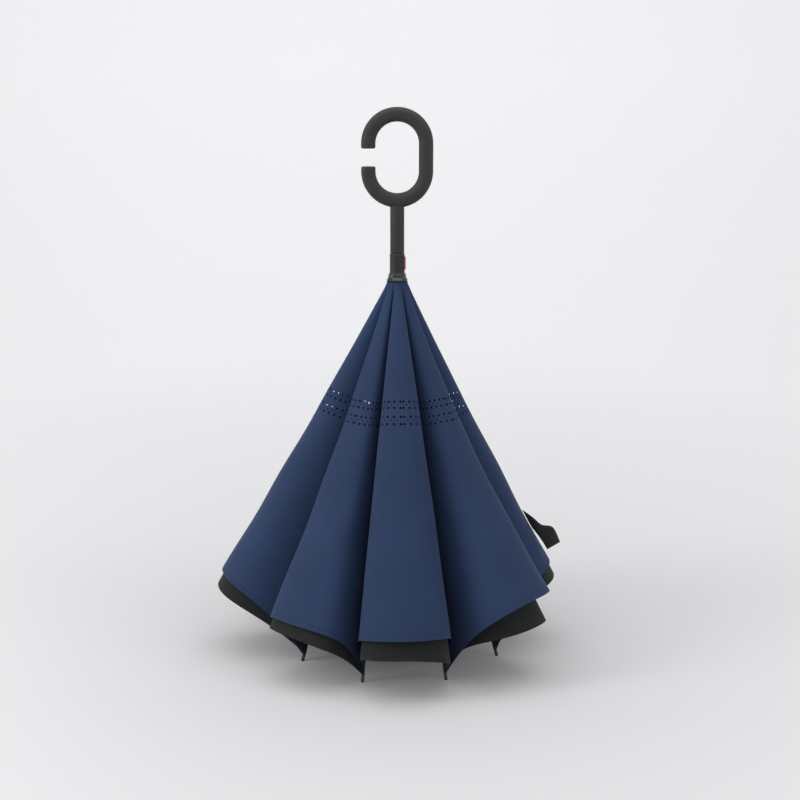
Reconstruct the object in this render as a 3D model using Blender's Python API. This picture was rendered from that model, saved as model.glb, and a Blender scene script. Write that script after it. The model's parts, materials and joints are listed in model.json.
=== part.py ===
"""An inverted umbrella with a C-shaped handle, folded and standing on its rib tips.

Lengths are in metres and Z is up. An azimuth is counted from the -Y side towards +X.
The runner stands against the handle and carries the ribs. The notch at the shaft's far end carries
the struts, which reach the ribs' elbows. Blue panels lie outside the ribs and black panels inside.
"""

import math

import bmesh
import bpy
from mathutils import Matrix, Vector

COUNT = 8
STEP = 2 * math.pi / COUNT
FIRST_RIB = math.radians(-18.5)
AXIS_X = 0.011  # the shaft's axis, beside the middle of the folded canopy's box

GAP = 0.0003  # between pieces that touch
RUNNING = 0.0003  # round a piece that turns or slides

CIRCLE = 24  # sides of the large turned pieces
SMALL_CIRCLE = 12  # sides of eyes, pins and rivets

SHAFT_RADIUS = 0.006
SHAFT_WALL = 0.001

HANDLE_TOP = 0.804
HANDLE_BEND = 0.0411  # radius of the C's centreline at its two ends
HANDLE_STRAIGHT = 0.0388  # between the centres of the two bends
HANDLE_WIDTH = 0.0206
HANDLE_DEPTH = 0.022
HANDLE_MOUTH = 0.0253
HANDLE_EDGE = 0.002
HANDLE_SQUARENESS = 2.6
HANDLE_BEND_STEPS = 12
HANDLE_SIDES = 18
STEM_RADIUS = 0.01015
STEM_LENGTH = 0.065
STEM_CHAMFER = 0.0012
STEM_SOCKET = 0.045

GRIP_RADIUS = 0.0109
GRIP_LENGTH = 0.0286
GRIP_CHAMFER = 0.0012
GRIP_GROOVES = 8
GRIP_GROOVE = 0.0011
GRIP_GROOVE_DEPTH = 0.0005
GRIP_BAND = 0.0235  # the stretch of the grip that the grooves cover
CROWN_HEIGHT = 0.0114
CROWN_TOP_RADIUS = 0.0125
CROWN_FOOT_RADIUS = 0.01525
CROWN_EDGE = 0.0007
NECK_RADIUS = 0.009
HUB_RADIUS = 0.0143
HUB_HEIGHT = 0.009
HUB_ABOVE_PIVOT = 0.0045
WIRE_RADIUS = 0.0009

BUTTON_AZIMUTH = math.radians(78)
BUTTON_HEIGHT = 0.0195
BUTTON_WIDTH = 0.008
BUTTON_PROUD = 0.0013
BUTTON_DEPTH = 0.0022
BUTTON_EDGE = 0.0005
BUTTON_ROOM = 0.0021  # behind the button, for its spring and its travel
SPRING_WIDTH = 0.004
SPRING_THICKNESS = 0.0003

PIVOT_RADIUS = 0.012
RIB_ANGLE = math.radians(14.7)
RIB_WIDTH = 0.0034
RIB_HEIGHT = 0.0036
RIB_EYE = 0.0022
RIB_EYE_HOLE = 0.0012
RIB_EYE_ROOM = 0.0007
ELBOW = 0.240  # from the rib's pivot to its elbow
ELBOW_EAR = 0.0042
ELBOW_EAR_LENGTH = 0.010
ELBOW_EAR_SLOPE = 0.007
RIVET_RADIUS = 0.0018
RIVET_HEIGHT = 0.0009
TIP_LENGTH = 0.0095
TIP_RADIUS = 0.0025
TIP_END_RADIUS = 0.0020

NOTCH_PIVOT_Z = 0.068
NOTCH_RADIUS = 0.0155
NOTCH_BELOW_PIVOT = 0.008
NOTCH_ABOVE_PIVOT = 0.006
STRUT_WIDTH = 0.0026
STRUT_HEIGHT = 0.0040
STRUT_EYE = 0.0030
STRUT_EYE_HOLE = 0.0017
STRUT_EYE_ROOM = 0.0004
CAP_RADIUS = 0.0165
CAP_HEIGHT = 0.013
CAP_EDGE = 0.003
CAP_SOCKET = 0.008
CAP_STEPS = 5

CLOTH = 0.0005
RIDGE_DEGREES = (25.9, 31.3, 27.5, 27.0, 26.2, 27.5, 29.9, 25.4)  # each lobe's ridge at its lower end
RIDGE_FLARE_DEGREES = (-2.3, 9.0, 2.3, 3.0, 3.0, 3.0, 1.6, 5.0)  # how much steeper it hangs at the top
# Each lobe's left and right half: where its corner lies, how full it is, and how its hems curve.
LOBE_CORNER_shares = ((0.18, 0.33), (0.13, 0.22), *(4 * [(0.3, 0.3)]), (0.3, 0.31), (0.2, 0.21))
LOBE_PULL_shares = ((2.2, 2.2), (1.6, 2.1), (1.7, 1.6), *(3 * [(1.7, 1.7)]), (1.6, 1.6), (2, 2))
BLUE_CURVE_shares = ((5.1, 5.7), (1.9, 4.3), *(4 * [(3, 3)]), (3, 2.5), (2.7, 2.7))
BLACK_CURVE_shares = ((5, 5.5), (5, 4.3), (4, 3), *(3 * [(3, 3)]), (3, 2.6), (3.2, 1.8))
LOBE_ROUND_share = 0.8  # of the way across a half lobe that goes round it, to the way that goes out
SEAM_TO_TIP = 0.0102  # from the lower ends of the seams to the rib's end
BLUE_TOP = 0.006
BLUE_HEM_shares = (0.889, 0.851, 0.832, 0.867, 0.876, 0.876, 0.865, 0.882)  # ridges' lengths to the rib's
BLUE_ROWS = 8
LOBE_STEPS = 6
BLACK_INSIDE_DEGREES = (1.2, 0.7, 0.5, 0.7, 0.7, 0.7, 0.6, 0.5)  # from the blue ridges to the black ones
BLACK_BELOW_ELBOW = 0.022
BLACK_HEM_shares = (0.934, 0.905, 0.871, 0.911, 0.925, 0.92, 0.907, 0.912)
BLACK_ROWS = 5
CROWN_PANEL_ANGLE = math.radians(14.6)
CROWN_PANEL_START = 0.005
CROWN_PANEL_SHORT = 0.0191  # from its upper edge to the strut's end
CROWN_PANEL_ROWS = 4
COLLAR_FLARE = 0.0018
COLLAR_HEIGHT = 0.0085
COLLAR_SPACE = 0.0006

STRAP_PANEL_COUNT = 3  # the strap is on the third panel
STRAP_THICKNESS = 0.0012
STRAP_DOWN_share = 0.6755  # of the rib's length, down the ridge to the strap's upper edge
STRAP_ROOT = 0.0315  # the length of ridge that the strap's root covers
STRAP_REACH = 0.0547
# The strap's two edges from its root, as outward, round and down shares of its reach.
STRAP_UPPER_shares = [(0, 0, 0), (0.28, -0.12, 0.19), (0.51, -0.20, 0.37), (0.81, -0.28, 0.43), (1, -0.38, 0.82)]
STRAP_LOWER_shares = [(0, 0, 0), (0.09, -0.12, 0.1), (0.18, -0.20, 0.22), (0.27, -0.28, 0.35), (0.37, -0.38, 0.52)]

CROWN_FOOT_Z = (
    HANDLE_TOP
    - HANDLE_STRAIGHT
    - 2 * HANDLE_BEND
    - HANDLE_WIDTH
    - STEM_LENGTH
    - GRIP_LENGTH
    - CROWN_HEIGHT
    - 2 * GAP
)
HUB_TOP_Z = CROWN_FOOT_Z - GAP
RIB_PIVOT_Z = HUB_TOP_Z - HUB_ABOVE_PIVOT
GRIP_FOOT_Z = CROWN_FOOT_Z + CROWN_HEIGHT + GAP
GRIP_TOP_Z = GRIP_FOOT_Z + GRIP_LENGTH
STEM_FOOT_Z = GRIP_TOP_Z + GAP
STEM_TOP_Z = STEM_FOOT_Z + STEM_LENGTH
RIB_LENGTH = RIB_PIVOT_Z / math.cos(RIB_ANGLE)
STRUT_SIDE = RIB_WIDTH / 2 + GAP + STRUT_WIDTH / 2
STRUT_RUN = ELBOW * math.sin(RIB_ANGLE)
STRUT_RISE = RIB_PIVOT_Z - NOTCH_PIVOT_Z - ELBOW * math.cos(RIB_ANGLE)
STRUT_LENGTH = math.hypot(STRUT_RUN, STRUT_RISE)
STRUT_ANGLE = math.atan2(STRUT_RUN, STRUT_RISE)
PANEL_APEX = PIVOT_RADIUS / math.cos(STEP / 2)  # where two neighbouring hinge axes cross
SEAM_HEM = RIB_LENGTH - SEAM_TO_TIP
BLUE_RIDGE_HEMS = [share * RIB_LENGTH for share in BLUE_HEM_shares]
BLACK_RIDGE_HEMS = [share * RIB_LENGTH for share in BLACK_HEM_shares]
BLACK_TOP = ELBOW + BLACK_BELOW_ELBOW


def clear_scene():
    for obj in list(bpy.data.objects):
        bpy.data.objects.remove(obj, do_unlink=True)


def srgb(*levels):
    """A colour's linear values from its 0-255 levels."""
    shares = [level / 255 for level in levels]
    return [s / 12.92 if s <= 0.04045 else ((s + 0.055) / 1.055) ** 2.4 for s in shares] + [1]


def material(name, levels, roughness, metallic=0):
    mat = bpy.data.materials.new(name)
    mat.use_nodes = True
    shader = mat.node_tree.nodes["Principled BSDF"]
    shader.inputs["Base Color"].default_value = srgb(*levels)
    shader.inputs["Roughness"].default_value = roughness
    shader.inputs["Metallic"].default_value = metallic
    mat.diffuse_color = srgb(*levels)
    return mat


def empty(name, place, parent=None):
    obj = bpy.data.objects.new(name, None)
    bpy.context.scene.collection.objects.link(obj)
    obj.parent = parent
    obj.location = place
    return obj


def add(name, mesh, mat, parent, place=(0, 0, 0), turn=(0, 0, 0), smooth=True):
    """An object of a mesh at its place, in its own material."""
    obj = bpy.data.objects.new(name, mesh)
    bpy.context.scene.collection.objects.link(obj)
    obj.parent = parent
    obj.location = place
    obj.rotation_euler = turn
    if smooth and not mesh.materials:
        mesh.shade_smooth()
        mesh.set_sharp_from_angle(angle=math.radians(32))
    if mat and not mesh.materials:
        mesh.materials.append(mat)
    return obj


def as_guide(obj):
    obj.hide_render = True
    obj.display_type = "WIRE"
    return obj


def finished(bm, name):
    bmesh.ops.recalc_face_normals(bm, faces=bm.faces)
    mesh = bpy.data.meshes.new(name)
    bm.to_mesh(mesh)
    bm.free()
    return mesh


def polar(radius, azimuth, z):
    return Vector((radius * math.sin(azimuth), -radius * math.cos(azimuth), z))


def beside_rib(k, radius, side, z):
    """A point at a radius in a rib's plane, moved sideways out of it."""
    azimuth = FIRST_RIB + k * STEP
    return polar(radius, azimuth, z) + polar(side, azimuth + math.pi / 2, 0)


def facing(azimuth):
    """The turn about Z that brings local X outward and local Y round."""
    return azimuth - math.pi / 2


def circle(radius, sides, x=0, z=0):
    turns = [2 * math.pi * i / sides for i in range(sides)]
    return [(x + radius * math.cos(t), z + radius * math.sin(t)) for t in turns]


def turned(name, profile, sides=CIRCLE):
    """A profile of (radius, z) points turned round Z. A hollow profile is a closed loop."""
    bm = bmesh.new()
    solid = abs(profile[0][0]) < GAP and abs(profile[-1][0]) < GAP
    verts = [bm.verts.new((r, 0, z)) for r, z in profile]
    edges = [bm.edges.new(pair) for pair in zip(verts, verts[1:])]
    if not solid:
        edges.append(bm.edges.new((verts[-1], verts[0])))
    bmesh.ops.spin(
        bm,
        geom=verts + edges,
        cent=(0, 0, 0),
        axis=(0, 0, 1),
        angle=2 * math.pi,
        steps=sides,
        use_merge=True,
    )
    bmesh.ops.remove_doubles(bm, verts=bm.verts, dist=GAP / 100)
    return finished(bm, name)


def loop(bm, points, y=0):
    verts = [bm.verts.new((x, y, z)) for x, z in points]
    edges = [bm.edges.new((verts[i - 1], verts[i])) for i in range(len(verts))]
    return verts, edges


def plate(name, outline, near, far, holes=(), rivet=None, rivet_side=0):
    """An outline in X and Z, from near to far along Y, with holes and one round head on the side given."""
    bm = bmesh.new()
    verts, edges = loop(bm, outline, near)
    for hole in holes:
        edges += loop(bm, hole, near)[1]
    head = None
    if rivet:
        head, rim = loop(bm, rivet, near)
        edges += rim
    bmesh.ops.triangle_fill(bm, edges=edges, use_beauty=True)
    if head:
        bm.faces.new(head)
    flat = list(bm.faces)
    grown = bmesh.ops.extrude_face_region(bm, geom=flat)["geom"]
    moved = [g for g in grown if isinstance(g, bmesh.types.BMVert)]
    bmesh.ops.translate(bm, verts=moved, vec=(0, far - near, 0))
    bmesh.ops.recalc_face_normals(bm, faces=bm.faces)
    if head:
        ends = [f for f in bm.faces if len(f.verts) == len(rivet) and abs(f.normal.y) > 1 / 2]
        top = max(ends, key=lambda f: f.normal.y * rivet_side)
        grown = bmesh.ops.extrude_discrete_faces(bm, faces=[top])["faces"]
        rim = list(grown[0].verts)
        bmesh.ops.translate(bm, verts=rim, vec=(0, rivet_side * RIVET_HEIGHT, 0))
        close_sides(bm)
    return finished(bm, name)


def close_sides(bm):
    """Walls between the two open rims that lifting a face leaves."""
    open_edges = [e for e in bm.edges if e.is_boundary]
    bmesh.ops.bridge_loops(bm, edges=open_edges)


def grid_mesh(name, rows):
    bm = bmesh.new()
    grid = [[bm.verts.new(p) for p in row] for row in rows]
    for upper, lower in zip(grid, grid[1:]):
        for i in range(len(upper) - 1):
            bm.faces.new((upper[i], upper[i + 1], lower[i + 1], lower[i]))
    return finished(bm, name)


def add_sheet(name, rows, thickness, mat, parent, place, turn):
    """A closed sheet through rows of points in the parent's frame, with its origin at its place."""
    frame = Matrix.Translation(place) @ Matrix.Rotation(turn, 4, "Z")
    back = frame.inverted()
    local = [[back @ p for p in row] for row in rows]
    obj = add(name, grid_mesh(name, local), mat, parent, place, (0, 0, turn))
    solid = obj.modifiers.new("thickness", "SOLIDIFY")
    solid.thickness = thickness
    solid.offset = 0
    solid.use_even_offset = True
    return obj


def cut(obj, cutter, operation="DIFFERENCE"):
    boolean = obj.modifiers.new(operation.lower(), "BOOLEAN")
    boolean.operation = operation
    boolean.solver = "EXACT"
    boolean.object = as_guide(cutter)


def handle_section(scale):
    """One section of the handle, as (outward, sideways) points."""
    points = []
    for i in range(HANDLE_SIDES):
        t = 2 * math.pi * (i + 1 / 2) / HANDLE_SIDES
        c, s = math.cos(t), math.sin(t)
        power = 2 / HANDLE_SQUARENESS
        out = math.copysign(abs(c) ** power, c) * (HANDLE_WIDTH / 2 - HANDLE_EDGE * (1 - scale))
        side = math.copysign(abs(s) ** power, s) * (HANDLE_DEPTH / 2 - HANDLE_EDGE * (1 - scale))
        points.append((out, side))
    return points


def handle_rings():
    """(centre, outward direction, edge share) along the C, from its upper mouth end to its lower one."""
    middle = HANDLE_TOP - HANDLE_WIDTH / 2 - HANDLE_BEND - HANDLE_STRAIGHT / 2
    rings = []
    left = Vector((-1, 0, 0))
    edge_shares = (0, 0.7, 1)
    inset_shares = (0, 0.3, 1)
    for edge, inset in zip(edge_shares, inset_shares):
        z = middle + HANDLE_MOUTH / 2 + inset * HANDLE_EDGE
        rings.append((Vector((-HANDLE_BEND, 0, z)), left, edge))
    for side in (1, -1):
        centre = Vector((0, 0, middle + side * HANDLE_STRAIGHT / 2))
        for i in range(HANDLE_BEND_STEPS + 1):
            t = math.pi * i / HANDLE_BEND_STEPS
            out = Vector((-side * math.cos(t), 0, side * math.sin(t)))
            rings.append((centre + out * HANDLE_BEND, out, 1))
    for edge, inset in zip(reversed(edge_shares), reversed(inset_shares)):
        z = middle - HANDLE_MOUTH / 2 - inset * HANDLE_EDGE
        rings.append((Vector((-HANDLE_BEND, 0, z)), left, edge))
    return rings


def handle_mesh():
    bm = bmesh.new()
    loops = []
    for centre, out, edge in handle_rings():
        section = handle_section(edge)
        loops.append([bm.verts.new(centre + out * a + Vector((0, b, 0))) for a, b in section])
    for one, two in zip(loops, loops[1:]):
        for i in range(HANDLE_SIDES):
            bm.faces.new((one[i - 1], one[i], two[i], two[i - 1]))
    bm.faces.new(loops[0])
    bm.faces.new(loops[-1])
    return finished(bm, "handle_hook")


def make_handle(parent):
    rubber = material("handle_hook", (50, 50, 51), 0.55)
    handle = add("handle_hook", handle_mesh(), rubber, parent)
    top = STEM_TOP_Z + HANDLE_WIDTH / 2
    socket = SHAFT_RADIUS + GAP
    profile = [
        (0, STEM_FOOT_Z + STEM_SOCKET),
        (socket, STEM_FOOT_Z + STEM_SOCKET),
        (socket, STEM_FOOT_Z),
        (STEM_RADIUS - STEM_CHAMFER, STEM_FOOT_Z),
        (STEM_RADIUS, STEM_FOOT_Z + STEM_CHAMFER),
        (STEM_RADIUS, top),
        (0, top),
    ]
    stem = add("stem", turned("stem", profile), None, parent)
    cut(handle, stem, "UNION")


def make_shaft(parent):
    steel = material("shaft_tube", (60, 61, 63), 0.3, 0.9)
    foot = notch_foot_z() - CAP_SOCKET
    top = STEM_FOOT_Z + STEM_SOCKET - GAP
    inside = SHAFT_RADIUS - SHAFT_WALL
    profile = [(inside, foot), (SHAFT_RADIUS, foot), (SHAFT_RADIUS, top), (inside, top)]
    add("shaft_tube", turned("shaft_tube", profile), steel, parent)


def notch_foot_z():
    return NOTCH_PIVOT_Z - NOTCH_BELOW_PIVOT


def grip_profile():
    """The grip's outside from its foot to its top, with the grooves."""
    points = [(GRIP_RADIUS, GRIP_FOOT_Z)]
    pitch = GRIP_BAND / GRIP_GROOVES
    start = GRIP_FOOT_Z + (GRIP_LENGTH - GRIP_BAND) / 2
    for i in range(GRIP_GROOVES):
        z = start + pitch * (i + 1 / 2)
        points.append((GRIP_RADIUS, z - GRIP_GROOVE / 2))
        points.append((GRIP_RADIUS - GRIP_GROOVE_DEPTH, z))
        points.append((GRIP_RADIUS, z + GRIP_GROOVE / 2))
    points.append((GRIP_RADIUS, GRIP_TOP_Z - GRIP_CHAMFER))
    points.append((GRIP_RADIUS - GRIP_CHAMFER, GRIP_TOP_Z))
    return points


def slots(name, radius, low, high, side, width):
    """Eight boxes from a radius outward, one at each rib, as one cutter mesh."""
    bm = bmesh.new()
    for k in range(COUNT):
        size = (HUB_RADIUS, width, high - low)
        middle = Vector((radius + HUB_RADIUS / 2, side, (low + high) / 2))
        box = Matrix.LocRotScale(middle, None, size)
        turn = Matrix.Rotation(facing(FIRST_RIB + k * STEP), 4, "Z")
        bmesh.ops.create_cube(bm, size=1, matrix=turn @ box)
    return finished(bm, name)


def make_runner(parent):
    plastic = material("runner_sleeve", (38, 38, 40), 0.45)
    bore = SHAFT_RADIUS + RUNNING
    foot = HUB_TOP_Z - HUB_HEIGHT
    groove = WIRE_RADIUS + GAP
    floor = RIB_PIVOT_Z - groove
    profile = [(bore, foot), (HUB_RADIUS, foot), (HUB_RADIUS, HUB_TOP_Z)]
    profile += [(PIVOT_RADIUS + groove, HUB_TOP_Z), (PIVOT_RADIUS + groove, floor)]
    profile += [(PIVOT_RADIUS - groove, floor), (PIVOT_RADIUS - groove, HUB_TOP_Z)]
    profile += [(NECK_RADIUS, HUB_TOP_Z), (NECK_RADIUS, GRIP_FOOT_Z)]
    profile += grip_profile() + [(bore, GRIP_TOP_Z)]
    sleeve = add("runner_sleeve", turned("runner_sleeve", profile), plastic, parent)
    slot_top = RIB_PIVOT_Z + RIB_EYE + RIB_EYE_ROOM
    slot_start = PIVOT_RADIUS - RIB_EYE - GAP
    width = RIB_WIDTH + 2 * RUNNING
    mesh = slots("rib_slots", slot_start, foot - HUB_HEIGHT, slot_top, 0, width)
    cut(sleeve, add("rib_slots", mesh, None, parent))
    cut(sleeve, button_block("button_pocket", RUNNING, GRIP_RADIUS + HUB_RADIUS, pocket_floor(), parent))
    chrome = material("runner_wire", (150, 150, 152), 0.3, 1)
    add("runner_wire", wire("runner_wire", PIVOT_RADIUS), chrome, parent, (0, 0, RIB_PIVOT_Z))
    make_crown_ring(parent)


def wire(name, radius):
    profile = circle(WIRE_RADIUS, SMALL_CIRCLE // 2, radius)
    return turned(name, profile, CIRCLE)


def make_crown_ring(parent):
    gloss = material("runner_crown_ring", (18, 18, 20), 0.12)
    top = CROWN_FOOT_Z + CROWN_HEIGHT
    inside = NECK_RADIUS + GAP
    waist = (CROWN_TOP_RADIUS + CROWN_FOOT_RADIUS) / 2 - CROWN_EDGE
    profile = [
        (inside, CROWN_FOOT_Z),
        (CROWN_FOOT_RADIUS - CROWN_EDGE, CROWN_FOOT_Z),
        (CROWN_FOOT_RADIUS, CROWN_FOOT_Z + CROWN_EDGE),
        (CROWN_FOOT_RADIUS, CROWN_FOOT_Z + 3 * CROWN_EDGE),
        (waist, CROWN_FOOT_Z + CROWN_HEIGHT / 2),
        (CROWN_TOP_RADIUS, top - CROWN_EDGE),
        (CROWN_TOP_RADIUS - CROWN_EDGE, top),
        (inside, top),
    ]
    add("runner_crown_ring", turned("runner_crown_ring", profile), gloss, parent)


def button_outline(grow):
    """The button's outline with round ends, grown by a clearance."""
    half = BUTTON_WIDTH / 2 + grow
    rise = (BUTTON_HEIGHT - BUTTON_WIDTH) / 2
    points = []
    for i in range(SMALL_CIRCLE + 2):
        end = 1 if i <= SMALL_CIRCLE / 2 else -1
        t = 2 * math.pi * (i if end > 0 else i - 1) / SMALL_CIRCLE
        points.append((half * math.cos(t), end * rise + half * math.sin(t)))
    return points


def button_block(name, grow, far, near, parent):
    """The button or its pocket, from one radius to another at the button's azimuth."""
    middle = (GRIP_FOOT_Z + GRIP_TOP_Z) / 2
    mesh = plate(name, button_outline(grow), -far, -near)
    return add(name, mesh, None, parent, (0, 0, middle), (0, 0, BUTTON_AZIMUTH))


def button_face():
    return GRIP_RADIUS + BUTTON_PROUD


def pocket_floor():
    return button_face() - BUTTON_DEPTH - BUTTON_ROOM


def make_button(parent):
    button = button_block("push_button", 0, button_face(), button_face() - BUTTON_DEPTH, parent)
    button.data.materials.append(material("push_button", (150, 30, 50), 0.35))
    bevel = button.modifiers.new("edge", "BEVEL")
    bevel.width = BUTTON_EDGE
    bevel.segments = 2
    bevel.limit_method = "ANGLE"
    bevel.angle_limit = math.radians(60)
    spring_steel = material("button_spring", (140, 140, 142), 0.3, 1)
    low = pocket_floor() + GAP + SPRING_THICKNESS / 2
    high = button_face() - BUTTON_DEPTH - GAP - SPRING_THICKNESS / 2
    rows = []
    middle = (GRIP_FOOT_Z + GRIP_TOP_Z) / 2
    steps = SMALL_CIRCLE // 2
    for i in range(steps + 1):
        t = i / steps
        r = low + (high - low) * math.sin(math.pi * t)
        z = middle + (t - 1 / 2) * (BUTTON_HEIGHT - BUTTON_WIDTH)
        centre = polar(r, BUTTON_AZIMUTH, z)
        across = polar(SPRING_WIDTH / 2, BUTTON_AZIMUTH + math.pi / 2, 0)
        rows.append([centre - across, centre + across])
    place = polar(low, BUTTON_AZIMUTH, middle)
    turn = facing(BUTTON_AZIMUTH)
    add_sheet("button_spring", rows, SPRING_THICKNESS, spring_steel, parent, place, turn)


def eye_arc(radius, half, x, z, up):
    """The part of an eye's rim that stands out of a bar of half height, from one side of it to the other."""
    start = math.asin(half / radius) - math.pi / 2
    points = []
    for i in range(SMALL_CIRCLE - 2):
        t = start + (math.pi - 2 * start) * i / (SMALL_CIRCLE - 3)
        points.append((x + radius * math.cos(t), z + up * radius * math.sin(t)))
    return points if up > 0 else points[::-1]


def rib_mesh():
    """A rib hanging straight down from its eye, with the elbow's ear on its inner side."""
    half = RIB_HEIGHT / 2
    end = TIP_LENGTH - RIB_LENGTH + GAP
    outline = eye_arc(RIB_EYE, half, 0, 0, 1)
    outline += [(-half, -ELBOW + ELBOW_EAR_LENGTH / 2 + ELBOW_EAR_SLOPE)]
    outline += [(-ELBOW_EAR, -ELBOW + ELBOW_EAR_LENGTH / 2), (-ELBOW_EAR, -ELBOW - ELBOW_EAR_LENGTH / 2)]
    outline += [(-half, -ELBOW - ELBOW_EAR_LENGTH / 2 - ELBOW_EAR_SLOPE)]
    outline += [(-half, end), (half, end)]
    hole = circle(RIB_EYE_HOLE, SMALL_CIRCLE)
    rivet = circle(RIVET_RADIUS - GAP, SMALL_CIRCLE, 0, -ELBOW)
    return plate("rib", outline, -RIB_WIDTH / 2, RIB_WIDTH / 2, [hole], rivet, -1)


def tip_mesh():
    """A rib's end cap in the upright rib's frame, cut flat where the leaning rib meets the floor."""
    profile = [(0, -RIB_LENGTH - TIP_RADIUS), (TIP_END_RADIUS, -RIB_LENGTH - TIP_RADIUS)]
    profile += [(TIP_RADIUS, -RIB_LENGTH + TIP_RADIUS), (TIP_RADIUS, TIP_LENGTH - RIB_LENGTH - GAP)]
    profile += [(TIP_RADIUS - GAP, TIP_LENGTH - RIB_LENGTH), (0, TIP_LENGTH - RIB_LENGTH)]
    mesh = turned("tip", profile, SMALL_CIRCLE - 2)
    bm = bmesh.new()
    bm.from_mesh(mesh)
    down = Matrix.Rotation(RIB_ANGLE, 3, "Y") @ Vector((0, 0, -1))
    foot = down * RIB_LENGTH * math.cos(RIB_ANGLE)
    geom = bm.verts[:] + bm.edges[:] + bm.faces[:]
    bmesh.ops.bisect_plane(bm, geom=geom, plane_co=foot, plane_no=down, clear_outer=True)
    bmesh.ops.holes_fill(bm, edges=[e for e in bm.edges if e.is_boundary])
    return finished(bm, "rib_tip")


def make_ribs(parent):
    steel = material("rib", (30, 30, 32), 0.35, 0.8)
    cap = material("rib_tip", (70, 71, 74), 0.3, 0.6)
    rib, tip = rib_mesh(), tip_mesh()
    for k in range(COUNT):
        azimuth = FIRST_RIB + k * STEP
        place = polar(PIVOT_RADIUS, azimuth, RIB_PIVOT_Z)
        turn = (0, -RIB_ANGLE, facing(azimuth))
        add(f"rib_{k + 1}", rib, steel, parent, place, turn)
        add(f"rib_tip_{k + 1}", tip, cap, parent, place, turn)


def strut_mesh():
    """A strut standing straight up from its eye, beside the rib's plane, with its rivet head outside."""
    half = STRUT_HEIGHT / 2
    lower = eye_arc(STRUT_EYE, half, 0, 0, -1)
    upper = eye_arc(STRUT_EYE, half, 0, STRUT_LENGTH, 1)
    hole = circle(STRUT_EYE_HOLE, SMALL_CIRCLE)
    rivet = circle(RIVET_RADIUS, SMALL_CIRCLE, 0, STRUT_LENGTH)
    near = STRUT_SIDE - STRUT_WIDTH / 2
    far = STRUT_SIDE + STRUT_WIDTH / 2
    return plate("strut", lower + upper, near, far, [hole], rivet, 1)


def make_struts(parent):
    steel = material("strut", (34, 34, 36), 0.35, 0.8)
    strut = strut_mesh()
    for k in range(COUNT):
        azimuth = FIRST_RIB + k * STEP
        place = polar(PIVOT_RADIUS, azimuth, NOTCH_PIVOT_Z)
        add(f"strut_{k + 1}", strut, steel, parent, place, (0, STRUT_ANGLE, facing(azimuth)))


def make_notch(parent):
    plastic = material("notch_hub", (32, 32, 34), 0.5)
    bore = SHAFT_RADIUS + GAP
    ring = math.hypot(PIVOT_RADIUS, STRUT_SIDE)
    groove = WIRE_RADIUS + GAP
    foot = notch_foot_z()
    top = NOTCH_PIVOT_Z + NOTCH_ABOVE_PIVOT
    roof = NOTCH_PIVOT_Z + groove
    profile = [(bore, foot), (ring - groove, foot), (ring - groove, roof), (ring + groove, roof)]
    profile += [(ring + groove, foot), (NOTCH_RADIUS, foot), (NOTCH_RADIUS, top), (bore, top)]
    hub = add("notch_hub", turned("notch_hub", profile), plastic, parent)
    low = NOTCH_PIVOT_Z - STRUT_EYE - GAP
    start = PIVOT_RADIUS - STRUT_EYE - STRUT_EYE_ROOM
    width = STRUT_WIDTH + 2 * RUNNING
    mesh = slots("strut_slots", start, low, top + NOTCH_ABOVE_PIVOT, STRUT_SIDE, width)
    cut(hub, add("strut_slots", mesh, None, parent))
    chrome = material("notch_wire", (150, 150, 152), 0.3, 1)
    add("notch_wire", wire("notch_wire", ring), chrome, parent, (0, 0, NOTCH_PIVOT_Z))
    make_cap(parent, foot - GAP)


def make_cap(parent, top):
    plastic = material("notch_cap", (24, 24, 26), 0.35)
    socket = SHAFT_RADIUS + GAP
    profile = [(0, top - CAP_SOCKET), (socket, top - CAP_SOCKET), (socket, top), (CAP_RADIUS, top)]
    for i in range(CAP_STEPS + 1):
        t = math.pi / 2 * i / CAP_STEPS
        rise = (CAP_HEIGHT - CAP_EDGE) * math.sin(t)
        profile.append((CAP_RADIUS * math.cos(t), top - CAP_EDGE - rise))
    profile[-1] = (0, top - CAP_HEIGHT)
    add("notch_cap", turned("notch_cap", profile), plastic, parent)


def hem(across, curve, ridge):
    """How far down the hem lies at a share of the way from the seam to the ridge."""
    return SEAM_HEM + (ridge - SEAM_HEM) * (1 - (1 - across) ** curve)


def ridge_angle_at(k, down, inside_degrees=0):
    """A ridge's angle from the vertical, which grows down its length."""
    steeper = RIDGE_FLARE_DEGREES[k] * (1 - down / RIB_LENGTH)
    return math.radians(RIDGE_DEGREES[k] - steeper - inside_degrees)


def lobe_section(corner, pull):
    """A half lobe's cross-section from the seam to the ridge, as pairs of round and outward shares."""
    points = []
    for j in range(LOBE_STEPS + 1):
        t = j / LOBE_STEPS
        middle = 2 * pull * t * (1 - t)
        whole = (1 - t) ** 2 + middle + t**2
        points.append(((middle * corner + t**2) / whole, (middle + t**2) / whole))
    return points


def shares_across(section):
    """Shares of the way from the seam to the ridge at a section's points."""
    ways = [0]
    for one, other in zip(section, section[1:]):
        round_way = (other[0] - one[0]) * LOBE_ROUND_share
        ways.append(ways[-1] + math.hypot(round_way, other[1] - one[1]))
    return [way / ways[-1] for way in ways]


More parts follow.
